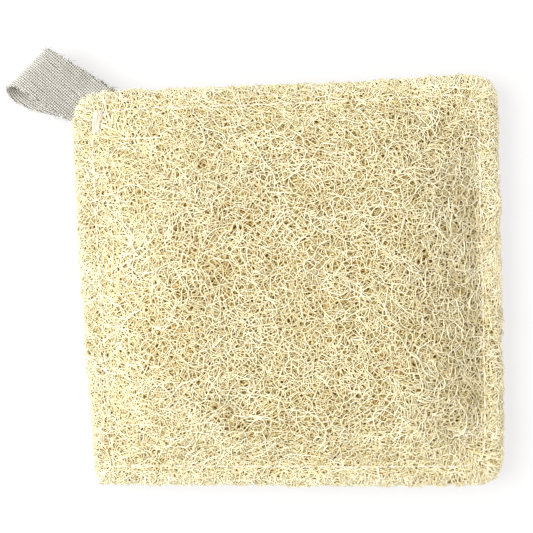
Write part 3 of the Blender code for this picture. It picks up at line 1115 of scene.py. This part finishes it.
def matFinish():
    made, nodes, wires, shader, where = newFinish("loofahMat", roughness=0.8)
    drift = nodes.new("ShaderNodeTexNoise")
    drift.inputs["Scale"].default_value = mats["driftPerMetre"]
    drift.inputs["Detail"].default_value = mats["driftDetail"]
    spread = nodes.new("ShaderNodeVectorMath")
    spread.operation = "SCALE"
    spread.inputs["Scale"].default_value = mats["drift"] * mm
    moved = nodes.new("ShaderNodeVectorMath")
    moved.operation = "ADD"
    web = nodes.new("ShaderNodeTexVoronoi")
    web.feature = "DISTANCE_TO_EDGE"
    web.inputs["Scale"].default_value = mats["cellsPerMetre"]
    ramp = rampNode(nodes, mats["cells"])
    patch = nodes.new("ShaderNodeTexNoise")
    patch.inputs["Scale"].default_value = mats["patchPerMetre"]
    patchy = rampNode(nodes, mats["patches"])
    tinted = nodes.new("ShaderNodeMix")
    tinted.data_type = "RGBA"
    tinted.blend_type = "MULTIPLY"
    tinted.inputs["Factor"].default_value = 1
    wires.new(where.outputs["Object"], drift.inputs["Vector"])
    wires.new(drift.outputs["Color"], spread.inputs[0])
    wires.new(where.outputs["Object"], moved.inputs[0])
    wires.new(spread.outputs["Vector"], moved.inputs[1])
    wires.new(moved.outputs["Vector"], web.inputs["Vector"])
    wires.new(web.outputs["Distance"], ramp.inputs["Fac"])
    wires.new(where.outputs["Object"], patch.inputs["Vector"])
    wires.new(patch.outputs["Fac"], patchy.inputs["Fac"])
    wires.new(ramp.outputs["Color"], tinted.inputs["A"])
    wires.new(patchy.outputs["Color"], tinted.inputs["B"])
    wires.new(tinted.outputs["Result"], shader.inputs["Base Color"])
    return made


matFinished = matFinish()


def matBody(name, side):
    deselectAll()
    bpy.ops.mesh.primitive_grid_add(x_subdivisions=mats["rows"], y_subdivisions=mats["rows"], size=2)
    mat = bpy.context.object
    mat.name = name
    flat = np.zeros(len(mat.data.vertices) * 3)
    mat.data.vertices.foreach_get("co", flat)
    a, b = (flat.reshape(-1, 3)[:, :2] * (np.array(pad["half"]) - mats["inset"])).T
    puffed = np.minimum(1, loft(a, b) / webs["puffedFrom"])
    lift = -mats["rimDepth"] - (mats["depth"] - mats["rimDepth"]) * puffed
    mat.data.vertices.foreach_set("co", (padPlace(a, b, lift, side) * mm).ravel())
    bpy.ops.object.mode_set(mode="EDIT")
    bpy.ops.mesh.select_all(action="SELECT")
    bpy.ops.mesh.extrude_region_move()
    bpy.ops.object.mode_set(mode="OBJECT")
    for spot in mat.data.vertices:
        if spot.select:
            spot.co.z = (pad["meeting"] + side * mats["apart"]) * mm
    bpy.ops.object.mode_set(mode="EDIT")
    bpy.ops.mesh.select_all(action="SELECT")
    bpy.ops.mesh.normals_make_consistent(inside=False)
    bpy.ops.object.mode_set(mode="OBJECT")
    bpy.ops.object.shade_smooth()
    mat.data.materials.append(matFinished)
    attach(mat, "root")
    return mat


frontMat = matBody("frontMat", 1)
backMat = matBody("backMat", -1)
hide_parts("front_loofah")
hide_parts("back_loofah")
stepDone("mats")


# Floor, light and camera. The studio's own places and sizes are in metres.
studio = {
    "floorSize": 6.0,
    "floorWhite": 0.18,
    "floorGlow": 0.69,
    "floorRoughness": 0.9,
    "roomLight": 1.06,
    "roomColour": (1.0, 0.965, 0.895, 1),
    "keyLight": 12.6,
    "keyPlace": (-0.63, 0.05, 0.74),
    "keySize": 0.8,
    "lens": 100,
    "sensor": 36,
    "pictureWide": 533,             # in pixels, as is its middle
    "pictureMiddle": (-23.5, 17.5),
    "pixelsPerMm": 3.37,            # at this height in millimetres
    "sightHeight": 12,
}


def buildStudio():
    deselectAll()
    bpy.ops.mesh.primitive_plane_add(size=studio["floorSize"], location=(0, 0, 0))
    floor = bpy.context.object
    floor.name = "floor"
    white = bpy.data.materials.new("floorWhite")
    white.use_nodes = True
    shader = white.node_tree.nodes["Principled BSDF"]
    shader.inputs["Base Color"].default_value = (*[studio["floorWhite"]] * 3, 1)
    shader.inputs["Roughness"].default_value = studio["floorRoughness"]
    shader.inputs["Emission Color"].default_value = (1, 1, 1, 1)
    shader.inputs["Emission Strength"].default_value = studio["floorGlow"]
    floor.data.materials.append(white)
    room = bpy.data.worlds.new("studio")
    bpy.context.scene.world = room
    room.use_nodes = True
    room.node_tree.nodes["Background"].inputs["Color"].default_value = studio["roomColour"]
    room.node_tree.nodes["Background"].inputs["Strength"].default_value = studio["roomLight"]
    bpy.ops.object.light_add(type="AREA", location=studio["keyPlace"])
    key = bpy.context.object
    key.data.shape = "DISK"
    key.data.size = studio["keySize"]
    key.data.energy = studio["keyLight"]
    key.rotation_euler = (-key.location).to_track_quat("-Z", "Y").to_euler()
    wide = studio["pictureWide"] / studio["pixelsPerMm"] * mm
    across, up = (pixels / studio["pixelsPerMm"] for pixels in studio["pictureMiddle"])
    height = studio["sightHeight"] * mm + studio["lens"] / studio["sensor"] * wide
    bpy.ops.object.camera_add(location=(across * mm, up * mm, height))
    eye = bpy.context.object
    eye.data.lens = studio["lens"]
    eye.data.sensor_width = studio["sensor"]
    bpy.context.scene.camera = eye
    bpy.context.scene.view_settings.view_transform = "Standard"
    bpy.context.scene.view_settings.look = "None"


buildStudio()
for ring in profiles.values():
    bpy.data.objects.remove(ring)
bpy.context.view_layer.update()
stepDone("sizes written")
